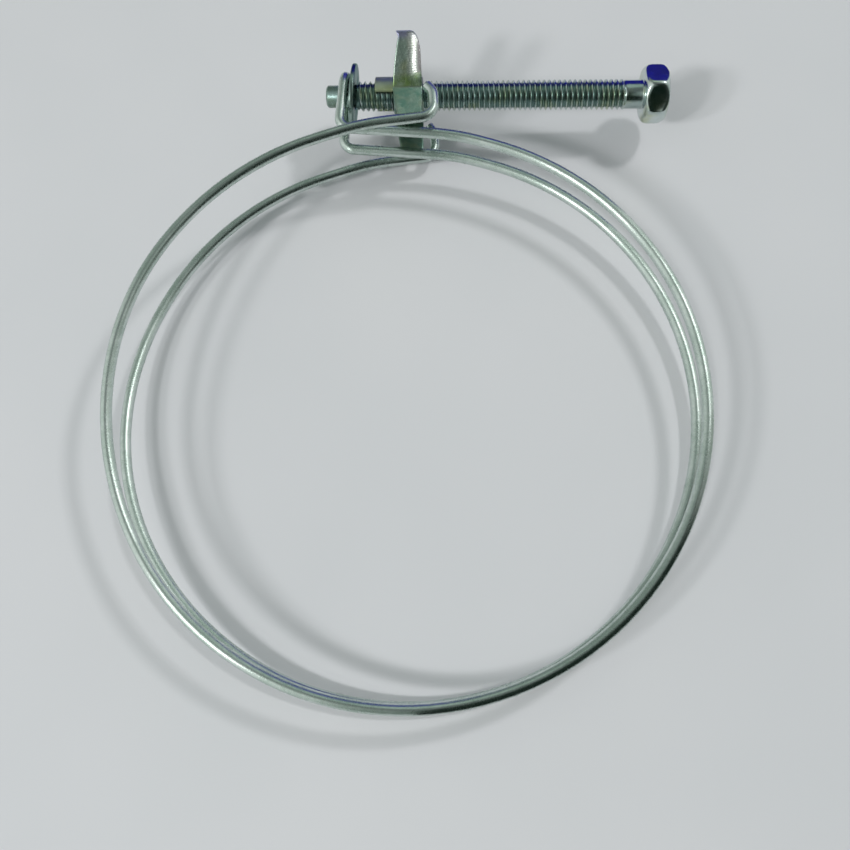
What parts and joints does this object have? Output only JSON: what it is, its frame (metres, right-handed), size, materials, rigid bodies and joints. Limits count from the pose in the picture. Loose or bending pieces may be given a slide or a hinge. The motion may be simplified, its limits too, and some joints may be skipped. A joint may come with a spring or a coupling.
{
  "type": "double wire hose clamp",
  "caption": "Round hose clamp bent from one doubled spring wire, closed by a hexagon-head screw that runs in a pressed sheet nut bracket with flared ears.",
  "frame": {"origin": "centre of the wire ring, on the hose's axis, midway between the two wires", "axes": "+Z along the hose, +Y from the ring's centre towards the screw, +X along the screw from its plain tip to its head"},
  "size_m": [0.1062, 0.1226, 0.023],
  "materials": {
    "wire": "bright zinc plate on drawn wire",
    "screw": "bright zinc plate",
    "washer": "bright zinc plate",
    "bracket": "satin zinc plate, slightly yellow in the bends"
  },
  "bodies": {
    "ring": {"wire_ring": "wire", "end_washer": "washer"},
    "screw": {"screw": "screw"},
    "bracket": {"nut_bracket": "bracket"}
  },
  "joints": [
    {"name": "screw_turn", "type": "hinge", "parent": "ring", "child": "screw", "pos_m": [0, 0.06297, 0], "axis": [1, 0, 0], "range_deg": [0, 1080]},
    {"name": "bracket_travel", "type": "slide", "parent": "ring", "child": "bracket", "axis": [1, 0, 0], "range_m": [-0.003, 0]}
  ],
  "couplings": [
    {"joint": "bracket_travel", "follows": "screw_turn", "m_per_rad": -0.00015915}
  ]
}
